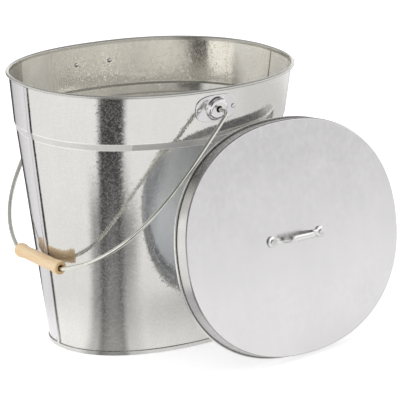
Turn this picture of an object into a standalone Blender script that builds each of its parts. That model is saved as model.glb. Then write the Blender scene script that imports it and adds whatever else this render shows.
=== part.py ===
"""Oval ash bucket in galvanised sheet steel, with a wire bail, a wooden grip and a loose lid.

Lengths are in metres and +Z is up. The bucket stands on the floor at z = 0, its long axis
along X. The bail hangs against the end at -X. The lid has been taken off: it stands on its
edge in front of the broad side at -Y and leans back against it. The origin is on the floor
under the middle of the whole arrangement.
"""

import math

import bmesh
import bpy
from mathutils import Euler, Vector
from mathutils.bvhtree import BVHTree

# Sheet metal and fits
SHEET = 0.0008            # thickness of the body, bottom, ears and lid
GAP = 0.0003              # air between pieces that touch
FACET_ROOM = 0.0002       # how far a flat facet may lie inside the true curve
OVAL_POWER = 2.2          # 2 is a plain ellipse, and a higher power is squarer
OVAL_STEPS = 72           # facets around every oval

# Body: two half shells that meet at the ends of the oval
BODY_HEIGHT = 0.300       # floor to the top of the rim
BASE_HALF_LENGTH = 0.1158
BASE_HALF_WIDTH = 0.0766
BELT_HEIGHT = 0.0622      # foot of the step in the wall, down from the top of the rim
LOWER_FLARE = 0.0367      # how far the wall leans out from the floor to that step
STEP_HEIGHT = 0.0074
STEP_OUT = 0.0022
UPPER_FLARE = 0.0059      # how far the band above the step leans out
RIM_RADIUS = 0.0019       # curled rim
CURL_TURN = math.radians(270.0)
CURL_STEPS = 9
SEAM_WIDTH = 0.0070       # folded strip over each joint of the half shells
SEAM_THICKNESS = 0.0016

# Bottom pan, folded round the lower edge of the body
FLOOR_HEIGHT = 0.0060     # floor under the pan, up to its underside
FOOT_HEIGHT = 0.0048      # lip outside the body

# Ears, each a plate with a hollow dome, held by two rivets
EAR_DROP = 0.0226         # swing axis of the bail, down from the top of the rim
EAR_SHIFT = 0.0018        # the ears sit a little off the middle of the long side
EAR_HALF_LENGTH = 0.0258
EAR_HALF_HEIGHT = 0.0148
EAR_CORNER_POWER = 2.8    # squareness of the plate's outline
DOME_RADIUS = 0.0132
DOME_HEIGHT = 0.0062      # top of the dome over the back of the plate
DOME_CROWN_SHARE = 0.57   # flat crown, as a share of the dome's radius
DOME_SHOULDER_SHARES = ((0.76, 0.90), (0.89, 0.52), (0.955, 0.2))  # radius, rise
EAR_STEPS = 32
EAR_RIVET_SPACING = 0.0436
EAR_SHANK_RADIUS = 0.0014
EAR_HEAD_RADIUS = 0.0024
EAR_HEAD_HEIGHT = 0.0012
RIVET_STEPS = 16

# Bail: wire with a headed end in each dome
WIRE_RADIUS = 0.00225
HINGE_ROOM = 0.00045      # hole in the dome, wider than the wire all round
BAIL_REACH = 0.2250       # swing axis to the wire inside the grip
BAIL_HALF_SPAN = 0.1410   # middle of the bucket to the leg of the bail
BAIL_BEND_RADIUS = 0.0065
BAIL_LEG = 0.0830         # pull of the straight leg on the curve
BAIL_SHOULDER = 0.1080    # pull of the grip's end on the curve
BAIL_KINK = math.radians(20.5)   # bend of the wire where it leaves the grip
BEND_STEPS = 6
BAIL_STEPS = 14
WIRE_STEPS = 10
STUD_RADIUS = 0.0042      # head on the end of the wire
STUD_LENGTH = 0.0018
STUD_CLEAR = 0.0016       # wall to the head, along the swing axis

# Grip: turned wood on the middle of the wire
GRIP_HALF_LENGTH = 0.0410
GRIP_BORE_RADIUS = 0.0033
GRIP_RADIUS = 0.0080      # at the swell near each end
GRIP_SHARES = ((1.0, 0.78), (0.975, 0.93), (0.89, 1.0), (0.78, 0.92), (0.66, 0.85),
               (0.33, 0.88))  # place along half the grip, radius
GRIP_STEPS = 20

# Lid: a flat pan whose skirt goes over the rim
LID_END_FIT = 0.0012      # air between the rim and the skirt at the ends
LID_SIDE_FIT = 0.0018     # and at the broad sides
LID_DEPTH = 0.0172        # edge of the hem to the outer face
LID_CORNER = 0.0016
HEM_RADIUS = 0.00145      # curled hem
LID_YAW = math.radians(11.1)    # how it is turned from the broad side of the bucket
LID_LEAN = math.radians(12.2)
LID_ROLL = math.radians(-2.6)
LID_ALONG = 0.0592        # where its middle line meets the long axis of the bucket

# Lid handle: an arched strap with a round tab at each end
HANDLE_SPACING = 0.0755   # between its rivets
TAB_RADIUS = 0.0062
TAB_TURNS = (125.0, 90.0, 60.0, 35.0, 15.0)   # degrees round the end of each tab
STRAP_HALF_WIDTH = 0.0035
STRAP_THICKNESS = 0.0014
ARCH_RISE = 0.0125        # lid to the underside of the arch
ARCH_FOOT_SHARE = 0.73    # places along half the rivet spacing
ARCH_TOP_SHARE = 0.42
ARCH_BEND_SHARES = (0.18, 0.09)   # how far a bend reaches along and up the riser
LID_SHANK_RADIUS = 0.0016
LID_HEAD_RADIUS = 0.0027
LID_HEAD_HEIGHT = 0.0013

SETTLE_SHARE = 0.02       # a piece that comes to rest stops this near to its gap
SETTLE_TRIES = 200

WALL_TOP = BODY_HEIGHT - RIM_RADIUS
LOWER_HEIGHT = BODY_HEIGHT - BELT_HEIGHT
EAR_HEIGHT = BODY_HEIGHT - EAR_DROP
HALF_GAP = GAP / 2


# Shapes

def remove_everything():
    """Start from an empty scene."""
    for thing in list(bpy.context.scene.objects):
        bpy.data.objects.remove(thing, do_unlink=True)


def loft(name, loops, ring=False):
    """A closed mesh through loops of equal count; a ring joins its last loop to its first."""
    mesh = bmesh.new()
    rows = [[mesh.verts.new(point) for point in loop] for loop in loops]
    pairs = list(zip(rows, rows[1:]))
    if ring:
        pairs.append((rows[-1], rows[0]))
    else:
        mesh.faces.new(rows[0])
        mesh.faces.new(rows[-1])
    for one, two in pairs:
        for i in range(len(one)):
            j = (i + 1) % len(one)
            mesh.faces.new((one[i], one[j], two[j], two[i]))
    bmesh.ops.recalc_face_normals(mesh, faces=mesh.faces)
    data = bpy.data.meshes.new(name)
    mesh.to_mesh(data)
    mesh.free()
    return data


def add_piece(name, mesh, material, parent):
    """Put a mesh in the scene as a named piece with its own material."""
    piece = bpy.data.objects.new(name, mesh)
    bpy.context.scene.collection.objects.link(piece)
    piece.parent = parent
    piece.data.materials.append(material)
    piece.data.shade_smooth()
    piece.data.set_sharp_from_angle(angle=math.radians(35.0))
    return piece


def add_empty(name, parent):
    """A bare axis that pieces hang on."""
    empty = bpy.data.objects.new(name, None)
    empty.empty_display_size = SEAM_WIDTH
    bpy.context.scene.collection.objects.link(empty)
    empty.parent = parent
    return empty


def add_tool(name, mesh, parent):
    """A hidden shape that cuts or joins others."""
    tool = bpy.data.objects.new(name, mesh)
    bpy.context.scene.collection.objects.link(tool)
    tool.parent = parent
    tool.hide_render = True
    tool.display_type = "WIRE"
    return tool


def combine(piece, tool, operation):
    """Cut the tool from the piece, or join it on."""
    change = piece.modifiers.new(tool.name, "BOOLEAN")
    change.operation = operation
    change.solver = "EXACT"
    change.object = tool


def finish(name, colour, roughness, metallic):
    """A plain material for one piece."""
    material = bpy.data.materials.new(name)
    material.use_nodes = True
    shader = material.node_tree.nodes["Principled BSDF"]
    shader.inputs["Base Color"].default_value = (*colour, 1.0)
    shader.inputs["Roughness"].default_value = roughness
    shader.inputs["Metallic"].default_value = metallic
    return material


def zinc(name, shade=1.0, roughness=0.3):
    """Galvanised steel, lighter or darker by its shade."""
    return finish(name, (0.66 * shade, 0.67 * shade, 0.68 * shade), roughness, 1.0)


def circle(radius, height, steps):
    """Points round Z at one height."""
    turn = 2 * math.pi / steps
    return [Vector((radius * math.cos(i * turn), radius * math.sin(i * turn), height))
            for i in range(steps)]


def turned(name, profile, steps, ring=False):
    """A piece turned round Z from (radius, height) points."""
    return loft(name, [circle(radius, height, steps) for radius, height in profile], ring)


def mix(start, end, share):
    """The value a share of the way from start to end."""
    return start + (end - start) * share


# Ovals

def signed_power(value, power):
    """A power that keeps the sign of its base."""
    return math.copysign(abs(value) ** power, value)


def oval_point(half_length, half_width, angle, height):
    """A point on the oval with these half axes."""
    power = 2 / OVAL_POWER
    return Vector((half_length * signed_power(math.cos(angle), power),
                   half_width * signed_power(math.sin(angle), power), height))


def oval_loop(half_length, half_width, height):
    """One whole oval, with a point at both ends of both axes."""
    turn = 2 * math.pi / OVAL_STEPS
    return [oval_point(half_length, half_width, i * turn, height) for i in range(OVAL_STEPS)]


def wall_out(height):
    """How far the outer face of the wall stands outside the base oval at a height."""
    stations = ((0.0, 0.0), (LOWER_HEIGHT, LOWER_FLARE), (STEP_HEIGHT, STEP_OUT),
                (WALL_TOP - LOWER_HEIGHT - STEP_HEIGHT, UPPER_FLARE))
    bottom = out = 0.0
    for rise, gain in stations:
        if rise and height <= bottom + rise:
            return out + gain * (height - bottom) / rise
        bottom += rise
        out += gain
    return out


def wall_point(along, height, side, outward=0.0):
    """A point on the broad side of the body, at X = along and on the side +1 or -1 of Y."""
    grow = wall_out(height) + outward
    share = abs(along) / (BASE_HALF_LENGTH + grow)
    across = (BASE_HALF_WIDTH + grow) * (1 - share ** OVAL_POWER) ** (1 / OVAL_POWER)
    return Vector((along, side * (across + HALF_GAP), height))


def wall_normal(along, height, side):
    """The outward normal of the broad side."""
    ahead = wall_point(along + SHEET, height, side) - wall_point(along - SHEET, height, side)
    up = wall_point(along, height + SHEET, side) - wall_point(along, height - SHEET, side)
    normal = ahead.cross(up).normalized()
    return normal if normal.y * side > 0 else -normal


def curl(centre_out, centre_height, radius, start, turn):
    """The sheet's two faces round a curled edge, as (out, height) points, inner face first."""
    angles = [start + turn * i / CURL_STEPS for i in range(CURL_STEPS + 1)]
    inner = [(centre_out + (radius - SHEET) * math.cos(angle),
              centre_height + (radius - SHEET) * math.sin(angle)) for angle in angles]
    outer = [(centre_out + radius * math.cos(angle),
              centre_height + radius * math.sin(angle)) for angle in reversed(angles)]
    return inner + outer


# Body

def shell_profile():
    """The section of the wall: up its outer face, round the curled rim and down inside."""
    edge = SHEET + GAP
    step_top = LOWER_HEIGHT + STEP_HEIGHT
    heights = (edge, LOWER_HEIGHT, step_top)
    outside = [(wall_out(height), height) for height in heights]
    rim_out = wall_out(WALL_TOP) - SHEET + RIM_RADIUS
    rim = curl(rim_out, WALL_TOP, RIM_RADIUS, math.pi, -CURL_TURN)
    inside = [(out - SHEET, height) for out, height in reversed(outside)]
    return outside + rim + inside


def half_shell(name, side):
    """The profile swept over half of the oval, moved half a gap away from the other half."""
    loops = []
    profile = shell_profile()
    for i in range(OVAL_STEPS // 2 + 1):
        angle = math.pi * 2 * i / OVAL_STEPS
        loop = []
        for out, height in profile:
            point = oval_point(BASE_HALF_LENGTH + out, BASE_HALF_WIDTH + out, angle, height)
            loop.append(Vector((point.x, side * (abs(point.y) + HALF_GAP), height)))
        loops.append(loop)
    return loft(name, loops)


def seam_strip(name, end):
    """A folded strip over one joint, sunk into the front half and just clear of the rear."""
    low = FOOT_HEIGHT + GAP + GAP
    high = WALL_TOP - RIM_RADIUS - GAP
    heights = (low, LOWER_HEIGHT, LOWER_HEIGHT + STEP_HEIGHT, high)
    half = SEAM_WIDTH / 2
    across = ((-half, -SHEET / 2), (-GAP, -SHEET / 2), (-GAP, GAP), (half, GAP))
    loops = []
    for height in heights:
        inner = [strip_point(end, y, height, out) for y, out in across]
        outer = [strip_point(end, y, height, GAP + SEAM_THICKNESS) for y in (half, 0.0, -half)]
        loops.append(inner + outer)
    return loft(name, loops)


def strip_point(end, across, height, outward):
    """A point near the end +1 or -1 of the long axis, at Y = across."""
    grow = wall_out(height) + outward
    share = abs(across) / (BASE_HALF_WIDTH + grow)
    along = (BASE_HALF_LENGTH + grow) * (1 - share ** OVAL_POWER) ** (1 / OVAL_POWER)
    return Vector((end * along, across, height))


def bottom_pan(name):
    """The raised floor of the bucket and the channel that grips the wall's lower edge."""
    inner = -SHEET - GAP
    top = FLOOR_HEIGHT + SHEET
    profile = ((inner - SHEET + wall_out(FLOOR_HEIGHT), FLOOR_HEIGHT),
               (inner - SHEET, 0.0),
               (GAP + SHEET, 0.0),
               (GAP + SHEET + wall_out(FOOT_HEIGHT), FOOT_HEIGHT),
               (GAP + wall_out(FOOT_HEIGHT), FOOT_HEIGHT),
               (GAP + wall_out(SHEET), SHEET),
               (inner + wall_out(SHEET), SHEET),
               (inner + wall_out(top), top))
    return loft(name, [oval_loop(BASE_HALF_LENGTH + out, BASE_HALF_WIDTH + out, height)
                       for out, height in profile])


def make_body(bucket):
    """Both half shells with their seam strips, and the bottom."""
    front = add_piece("body_front_half", half_shell("body_front_half", -1),
                      zinc("front_steel"), bucket)
    rear = add_piece("body_rear_half", half_shell("body_rear_half", 1),
                     zinc("rear_steel"), bucket)
    for end, word in ((-1, "left"), (1, "right")):
        strip = add_tool(f"seam_{word}", seam_strip(f"seam_{word}", end), bucket)
        combine(front, strip, "UNION")
    add_piece("bottom_pan", bottom_pan("bottom_pan"), zinc("bottom_steel", 0.92, 0.36), bucket)
    return front, rear


# Ears

def ear_outline(angle):
    """How far the edge of the ear plate is from the dome's middle in one direction."""
    across = abs(math.cos(angle) / EAR_HALF_LENGTH) ** EAR_CORNER_POWER
    up = abs(math.sin(angle) / EAR_HALF_HEIGHT) ** EAR_CORNER_POWER
    return (across + up) ** (-1 / EAR_CORNER_POWER)


def ear_loop(radius, spread, rise, side):
    """One loop laid over the wall: a circle, spread by a share out to the plate's edge."""
    loop = []
    for i in range(EAR_STEPS):
        angle = 2 * math.pi * i / EAR_STEPS
        reach = mix(radius, ear_outline(angle), spread)
        height = EAR_HEIGHT + reach * math.sin(angle)
        foot = wall_point(EAR_SHIFT + reach * math.cos(angle), height, side)
        loop.append(foot + Vector((0.0, side * rise, 0.0)))
    return loop


def ear_face(start, narrowing, side):
    """One face of the plate from the hole in its dome out to its edge."""
    rise = DOME_HEIGHT - SHEET
    loops = [ear_loop(WIRE_RADIUS + HINGE_ROOM, 0.0, start + rise, side),
             ear_loop(DOME_CROWN_SHARE * DOME_RADIUS, 0.0, start + rise, side)]
    for share, up in DOME_SHOULDER_SHARES:
        loops.append(ear_loop(share * DOME_RADIUS - narrowing, 0.0, start + up * rise, side))
    loops.append(ear_loop(DOME_RADIUS - narrowing, 0.0, start, side))
    loops.append(ear_loop(DOME_RADIUS, 1 / 2, start, side))
    loops.append(ear_loop(DOME_RADIUS, 1, start, side))
    return loops


def ear_mesh(name, side):
    """The plate: its front face, its edge and its hollow back."""
    front = ear_face(GAP + SHEET, 0.0, side)
    back = ear_face(GAP, SHEET, side)
    return loft(name, front + back[::-1], ring=True)


def rivet_mesh(name, shank, head_radius, head_height, low, high):
    """A rivet along Z whose heads start just below low and just above high."""
    profile = ((head_radius / 2, low - head_height), (head_radius, low - head_height / 2),
               (head_radius, low), (shank, low), (shank, high), (head_radius, high),
               (0.92 * head_radius, high + head_height / 2),
               (head_radius / 2, high + head_height))
    return turned(name, profile, RIVET_STEPS)


def add_rivet(name, mesh, material, parent, place, direction):
    """A rivet at a place, its outer head along a direction."""
    rivet = add_piece(name, mesh, material, parent)
    rivet.location = place
    rivet.rotation_euler = direction.to_track_quat("Z", "Y").to_euler()
    return rivet


def add_hole(name, radius, depth, parent, place, direction):
    """A cutter for a round hole through thin sheet."""
    drill = add_tool(name, turned(name, ((radius, -depth), (radius, depth)), RIVET_STEPS), parent)
    drill.location = place
    drill.rotation_euler = direction.to_track_quat("Z", "Y").to_euler()
    return drill


def make_ear(word, side, shell, bucket):
    """One ear with its rivets, and the holes they pass through."""
    ear = add_piece(f"ear_{word}", ear_mesh(f"ear_{word}", side), zinc(f"ear_{word}_steel"), bucket)
    low = -SHEET - FACET_ROOM - GAP
    high = GAP + SHEET + GAP
    for end, hand in ((-1, "left"), (1, "right")):
        along = EAR_SHIFT + end * EAR_RIVET_SPACING / 2
        place = wall_point(along, EAR_HEIGHT, side)
        direction = wall_normal(along, EAR_HEIGHT, side)
        name = f"ear_rivet_{word}_{hand}"
        mesh = rivet_mesh(name, EAR_SHANK_RADIUS, EAR_HEAD_RADIUS, EAR_HEAD_HEIGHT, low, high)
        add_rivet(name, mesh, zinc(f"{name}_steel", 0.9, 0.28), bucket, place, direction)
        drill = add_hole(f"{name}_hole", EAR_SHANK_RADIUS + GAP, EAR_HEAD_RADIUS, bucket,
                         place, direction)
        combine(shell, drill, "DIFFERENCE")
        combine(ear, drill, "DIFFERENCE")
    return ear


# Bail and grip

def bail_path():
    """One half of the wire from its head to the middle, as (across, reach) points."""
    wall = wall_point(EAR_SHIFT, EAR_HEIGHT, 1).y
    start = wall + STUD_CLEAR
    corner = BAIL_HALF_SPAN - BAIL_BEND_RADIUS
    path = [(start + STUD_LENGTH, 0.0), (corner, 0.0)]
    for i in range(1, BEND_STEPS + 1):
        angle = math.pi / 2 * i / BEND_STEPS
        path.append((corner + BAIL_BEND_RADIUS * math.sin(angle),
                     BAIL_BEND_RADIUS * (1 - math.cos(angle))))
    leg = Vector(path[-1])
    grip_end = Vector((GRIP_HALF_LENGTH + WIRE_RADIUS, BAIL_REACH))
    pull = BAIL_SHOULDER * Vector((math.cos(BAIL_KINK), -math.sin(BAIL_KINK)))
    handles = (leg, leg + Vector((0.0, BAIL_LEG)), grip_end + pull, grip_end)
    for i in range(1, BAIL_STEPS + 1):
        path.append(tuple(bezier(handles, i / BAIL_STEPS)))
    return path


def bezier(handles, share):
    """A point on the cubic curve through four handles."""
    one, two, three, four = handles
    rest = 1 - share
    return (one * rest ** 3 + two * 3 * rest ** 2 * share
            + three * 3 * rest * share ** 2 + four * share ** 3)


def wire_loop(place, heading, radius):
    """A ring of points square to the wire; the wire lies in the XY plane, reach along -X."""
    side = Vector((-heading.y, heading.x, 0.0))
    turn = 2 * math.pi / WIRE_STEPS
    return [place + side * (radius * math.cos(i * turn))
            + Vector((0.0, 0.0, radius * math.sin(i * turn))) for i in range(WIRE_STEPS)]


def bail_mesh(name):
    """The whole wire, swept from head to head."""
    half = [Vector((-reach, across, 0.0)) for across, reach in bail_path()]
    other = [Vector((point.x, -point.y, 0.0)) for point in reversed(half)]
    points = half + other
    loops = []
    for i, point in enumerate(points):
        before = points[max(i - 1, 0)]
        after = points[min(i + 1, len(points) - 1)]
        loops.append(wire_loop(point, (after - before).normalized(), WIRE_RADIUS))
    along = Vector((0.0, 1.0, 0.0))
    shoulder = half[0]
    tip = shoulder - along * STUD_LENGTH
    head = [wire_loop(tip, -along, STUD_RADIUS), wire_loop(shoulder, -along, STUD_RADIUS)]
    mirrored = [[Vector((p.x, -p.y, p.z)) for p in loop] for loop in head]
    tail = [[loop[(WIRE_STEPS // 2 - i) % WIRE_STEPS] for i in range(WIRE_STEPS)]
            for loop in reversed(mirrored)]
    return loft(name, head + loops + tail)


def grip_mesh(name):
    """Turned grip with a bore, its axis along Z."""
    half = [(GRIP_BORE_RADIUS, GRIP_HALF_LENGTH)]
    half += [(wide * GRIP_RADIUS, along * GRIP_HALF_LENGTH) for along, wide in GRIP_SHARES]
    profile = half + [(radius, -height) for radius, height in reversed(half)]
    return turned(name, profile, GRIP_STEPS, ring=True)


def make_bail(bucket):
    """The wire on its swing axis, and the grip on the middle of the wire."""
    axis = add_empty("bail_axis", bucket)
    axis.location = (EAR_SHIFT, 0.0, EAR_HEIGHT)
    wire = add_piece("bail_wire", bail_mesh("bail_wire"), zinc("wire_steel", 0.95, 0.25), axis)
    grip_axis = add_empty("grip_axis", axis)
    grip_axis.location = (-BAIL_REACH, 0.0, 0.0)
    grip_axis.rotation_euler = Euler((-math.pi / 2, 0.0, 0.0))
    beech = finish("beech", (0.80, 0.60, 0.36), 0.5, 0.0)
    grip = add_piece("bail_grip", grip_mesh("bail_grip"), beech, grip_axis)
    return axis, wire, grip


# Lid

def lid_half_axes():
    """Half axes of the outside of the skirt, which goes over the curled rim."""
    grow = wall_out(WALL_TOP) + 2 * RIM_RADIUS
    return BASE_HALF_LENGTH + grow + LID_END_FIT, BASE_HALF_WIDTH + grow + LID_SIDE_FIT


def lid_mesh(name):
    """The pan, its hem in the XY plane and its face up."""
    half_length, half_width = lid_half_axes()
    corner = LID_CORNER * (1 - math.sqrt(0.5))
    face = [(-LID_CORNER, LID_DEPTH), (-corner, LID_DEPTH - corner),
            (0.0, LID_DEPTH - LID_CORNER)]
    hem = curl(HEM_RADIUS - SHEET, HEM_RADIUS, HEM_RADIUS, math.pi, CURL_TURN)
    inside = [(-SHEET, LID_DEPTH - LID_CORNER), (-LID_CORNER, LID_DEPTH - SHEET)]
    return loft(name, [oval_loop(half_length + out, half_width + out, height)
                       for out, height in face + hem + inside])


def strap_stations():
    """Places along the right half of the strap, as (along, half width, underside height)."""
    foot = ARCH_FOOT_SHARE * HANDLE_SPACING / 2
    top = ARCH_TOP_SHARE * HANDLE_SPACING / 2
    flat = GAP
    high = ARCH_RISE
    ahead, fall = ARCH_BEND_SHARES
    stations = [(0.0, STRAP_HALF_WIDTH, high), (top, STRAP_HALF_WIDTH, high),
                (mix(top, foot, ahead), STRAP_HALF_WIDTH, mix(high, flat, fall)),
                (mix(foot, top, ahead), STRAP_HALF_WIDTH, mix(flat, high, fall)),
                (foot, STRAP_HALF_WIDTH, flat)]
    for degrees in TAB_TURNS:
        angle = math.radians(degrees)
        stations.append((HANDLE_SPACING / 2 + TAB_RADIUS * math.cos(angle),
                         TAB_RADIUS * math.sin(angle), flat))
    return stations


def handle_mesh(name):
    """The strap as a row of flat sections, standing on the lid's face."""
    right = strap_stations()
    left = [(-along, width, height) for along, width, height in reversed(right[1:])]
    loops = []
    for along, width, height in left + right:
        low = LID_DEPTH + height
        loops.append([Vector((along, -width, low)), Vector((along, width, low)),
                      Vector((along, width, low + STRAP_THICKNESS)),
                      Vector((along, -width, low + STRAP_THICKNESS))])
    return loft(name, loops)


def make_lid(bucket):
    """The pan, its handle and the two rivets, all on one empty."""
    place = add_empty("lid_place", bucket)
    pan = add_piece("lid_pan", lid_mesh("lid_pan"), zinc("lid_steel", 1.05, 0.34), place)
    handle = add_piece("lid_handle", handle_mesh("lid_handle"),
                       zinc("handle_steel", 0.95, 0.25), place)
    up = Vector((0.0, 0.0, 1.0))
    low = -SHEET - GAP
    high = GAP + STRAP_THICKNESS + GAP
    for end, hand in ((-1, "left"), (1, "right")):
        spot = Vector((end * HANDLE_SPACING / 2, 0.0, LID_DEPTH))
        name = f"lid_rivet_{hand}"
        mesh = rivet_mesh(name, LID_SHANK_RADIUS, LID_HEAD_RADIUS, LID_HEAD_HEIGHT, low, high)
        add_rivet(name, mesh, zinc(f"{name}_steel", 0.9, 0.28), place, spot, up)
        drill = add_hole(f"{name}_hole", LID_SHANK_RADIUS + GAP, LID_HEAD_RADIUS, place, spot, up)
        combine(pan, drill, "DIFFERENCE")
        combine(handle, drill, "DIFFERENCE")
    return place, pan


# Resting places

def world_points(piece, spacing=math.inf):
    """The corners of a finished piece where it stands, and points along its edges."""
    graph = bpy.context.evaluated_depsgraph_get()
    shape = piece.evaluated_get(graph)
    points = [shape.matrix_world @ corner.co for corner in shape.data.vertices]
    for edge in shape.data.edges:
        start, end = (points[i] for i in edge.vertices)
        count = int((end - start).length / spacing)
        points += [start.lerp(end, i / (count + 1)) for i in range(1, count + 1)]
    return points


def world_tree(piece):
    """The surface of a finished piece where it stands, for measuring distances."""
    graph = bpy.context.evaluated_depsgraph_get()
    shape = piece.evaluated_get(graph)
    faces = [tuple(face.vertices) for face in shape.data.polygons]
    return BVHTree.FromPolygons(world_points(piece), faces)


def nearest(points, tree, least):
    """The least distance from any of the points to a surface, if it is under the least."""
    for point in points:
        found = tree.find_nearest(point, least)[3]
        if found is not None:
            least = found
    return least


def settle(piece, others, place, travel, reach):
    """Move a piece on by its clearance until one gap is left; place() sets its travel."""
    still = [(world_tree(other), world_points(other, SHEET)) for other in others]
    for _ in range(SETTLE_TRIES):
        place(travel)
        bpy.context.view_layer.update()
        own = world_tree(piece)
        points = world_points(piece, SHEET)
        room = math.inf
        for tree, marks in still:
            room = nearest(points, tree, room)
            room = nearest(marks, own, room)
        if room < GAP * (1 + SETTLE_SHARE):
            break
        travel += (room - GAP) / reach
    return travel


def hang_bail(axis, grip, others):
    """Swing the bail down from level until the grip rests against the end of the body."""
    def place(down):
        axis.rotation_euler = Euler((0.0, -down, 0.0))
    return settle(grip, others, place, 0.0, BAIL_REACH + GRIP_RADIUS)


def lean_lid(empty, pan, others):
    """Stand the lid on the floor and slide it up to the bucket until it rests there."""
    yaw = Euler((0.0, 0.0, LID_YAW)).to_quaternion()
    tip = Euler((math.pi / 2 - LID_LEAN, 0.0, 0.0)).to_quaternion()
    roll = Euler((0.0, 0.0, LID_ROLL)).to_quaternion()
    empty.rotation_mode = "QUATERNION"
    empty.rotation_quaternion = yaw @ tip @ roll
    bpy.context.view_layer.update()
    lift = -min(point.z for point in world_points(pan))
    away = Vector((math.sin(LID_YAW), -math.cos(LID_YAW), 0.0))
    far = 2 * (BASE_HALF_LENGTH + wall_out(WALL_TOP))

    def place(travel):
        empty.location = Vector((LID_ALONG, 0.0, lift)) + away * (far - travel)
    return far - settle(pan, others, place, 0.0, 1)


def centre_on_origin(bucket):
    """Move everything so that the origin is under the middle of the whole."""
    points = []
    for thing in bpy.context.scene.objects:
        if thing.type == "MESH" and not thing.hide_render:
            points += world_points(thing)
    for axis in (0, 1):
        values = [point[axis] for point in points]
        bucket.location[axis] = -(min(values) + max(values)) / 2
    bpy.context.view_layer.update()


def build():
    """Make every piece, then let the bail and the lid come to rest."""
    remove_everything()
    bucket = add_empty("bucket", None)
    front, rear = make_body(bucket)
    ear_front = make_ear("front", -1, front, bucket)
    make_ear("rear", 1, rear, bucket)
    axis, wire, grip = make_bail(bucket)
    place, pan = make_lid(bucket)
    hang_bail(axis, grip, (front, rear))
    lean_lid(place, pan, (front, ear_front, wire))
    centre_on_origin(bucket)


build()
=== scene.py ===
"""The finish of an oval ash bucket: galvanised sheet, bright wire, a turned beech grip.

Lengths are in metres. The solids give every place and size. Each piece here keeps the form
of the solid that it stands for, with rounder curves, softened edges and its own surface.
"""

import math

import bmesh
import bpy
from mathutils import Matrix, Vector


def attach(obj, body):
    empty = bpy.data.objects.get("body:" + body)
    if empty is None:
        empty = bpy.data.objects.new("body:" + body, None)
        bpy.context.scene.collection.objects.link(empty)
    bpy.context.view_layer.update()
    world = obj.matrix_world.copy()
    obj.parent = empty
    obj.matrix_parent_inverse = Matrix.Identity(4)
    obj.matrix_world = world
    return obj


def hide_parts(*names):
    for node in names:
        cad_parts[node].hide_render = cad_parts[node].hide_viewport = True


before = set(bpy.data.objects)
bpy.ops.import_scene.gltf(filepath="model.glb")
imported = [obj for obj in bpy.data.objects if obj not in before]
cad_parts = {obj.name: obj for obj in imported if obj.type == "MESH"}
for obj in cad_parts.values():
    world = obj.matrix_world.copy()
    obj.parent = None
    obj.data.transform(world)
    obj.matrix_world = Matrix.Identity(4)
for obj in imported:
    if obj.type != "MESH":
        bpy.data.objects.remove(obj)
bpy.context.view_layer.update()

# Sheet metal, as in the solids
SHEET = 0.0008
GAP = 0.0003
OVAL_POWER = 2.2
OVAL_STEPS = 360

BODY_HEIGHT = 0.300
BASE_HALF_LENGTH = 0.1158
BASE_HALF_WIDTH = 0.0766
STEP_BOTTOM = 0.2378
LOWER_FLARE = 0.0367
STEP_HEIGHT = 0.0074
STEP_TOP = STEP_BOTTOM + STEP_HEIGHT
STEP_OUT = 0.0022
STEP_BEND = 0.010
INNER_STEP_BEND = 0.034
INNER_STEP_RISE = 0.0034  # the inner fold lies this much above the outer one
UPPER_FLARE = 0.0059
RIM_RADIUS = 0.0019
WALL_TOP = BODY_HEIGHT - RIM_RADIUS
CURL_TURN = math.radians(270.0)
CURL_STEPS = 27
SEAM_WIDTH = 0.0070
SEAM_THICKNESS = 0.0016
SEAM_BEND = 0.006
SEAM_EDGE = 0.0005
SEAM_SHARES = ((-0.4, 0.0), (0.2, 0.25), (0.7, 0.70))   # how the rear half slopes down
FLOOR_HEIGHT = 0.0060
FOOT_HEIGHT = 0.0048
PAN_BEND = 0.0006
FOOT_BEND = 0.0005
CHIME_BENDS = (0.0003, 0.0002)

EAR_HEIGHT = 0.2774
EAR_SHIFT = 0.0018
EAR_HALF_LENGTH = 0.0258
EAR_HALF_HEIGHT = 0.0148
EAR_CORNER_POWER = 2.8
EAR_EDGE = 0.00025
EAR_STEPS = 120
EAR_RIVET_SPACING = 0.0436
EAR_RIVET = (0.0014, 0.0024, 0.0012)   # shank radius, head radius, head height
DOME_RADIUS = 0.0132
DOME_HEIGHT = 0.0062
DOME_HOLE = 0.0027
DOME_SHARES = ((0.245, 0.97), (0.30, 0.995), (0.42, 1.0), (0.55, 0.995), (0.64, 0.975),
               (0.72, 0.93), (0.79, 0.85), (0.85, 0.73), (0.90, 0.57), (0.935, 0.39),
               (0.96, 0.22), (0.98, 0.09), (1.0, 0.02), (1.03, 0.0))
DOME_CROWN_SHARE = 0.4    # further in, the dome is flat enough to keep one radius

WIRE_RADIUS = 0.00225
BAIL_REACH = 0.2250
BAIL_HALF_SPAN = 0.1410
BAIL_BEND_RADIUS = 0.0065
BAIL_BEND_STEPS = 14
BAIL_BOW_STEPS = 60
BAIL_LEG = 0.0830
BAIL_SHOULDER = 0.1080
BAIL_KINK = math.radians(20.5)
STUD_RADIUS = 0.0042
STUD_LENGTH = 0.0018
STUD_CLEAR = 0.0016
STUD_EDGE = 0.00005

GRIP_HALF_LENGTH = 0.0410
GRIP_BORE_RADIUS = 0.0033
GRIP_RADIUS = 0.0080
GRIP_BORE_EDGE = 0.0005
GRIP_SHARES = ((1.0, 0.78), (0.975, 0.93), (0.89, 1.0), (0.78, 0.92), (0.66, 0.85),
               (0.33, 0.88), (0.0, 0.885))
GRIP_CURVE_STEPS = (2, 6)     # for the short stretch at its end, and for the others

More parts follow.
